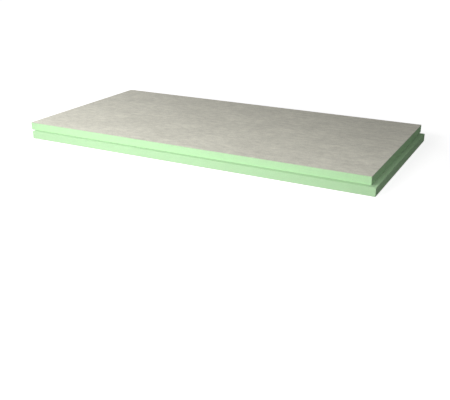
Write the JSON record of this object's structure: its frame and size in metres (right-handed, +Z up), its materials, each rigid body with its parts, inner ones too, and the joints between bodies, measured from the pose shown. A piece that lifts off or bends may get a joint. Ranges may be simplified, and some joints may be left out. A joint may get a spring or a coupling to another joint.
{
  "type": "polyiso insulation board",
  "caption": "Rigid polyiso foam board with a facing sheet bonded to each broad side and stepped shiplap rebates along all its edges.",
  "frame": {"origin": "on the underside, below the middle of the whole outline, lips included", "axes": "+X along the board towards the end where the lower lip reaches out, +Y across it towards the side where the upper lip reaches out, +Z up through its thickness"},
  "size_m": [1.2, 0.6, 0.05],
  "materials": {
    "foam": "fine closed cells, sawn and milled at the edges, dry and matt, pale green",
    "facer": "mineral-coated fibre sheet, matt, mottled warm grey"
  },
  "bodies": {
    "root": {"foam_core": "foam", "top_facer": "facer", "bottom_facer": "facer"}
  },
  "joints": []
}
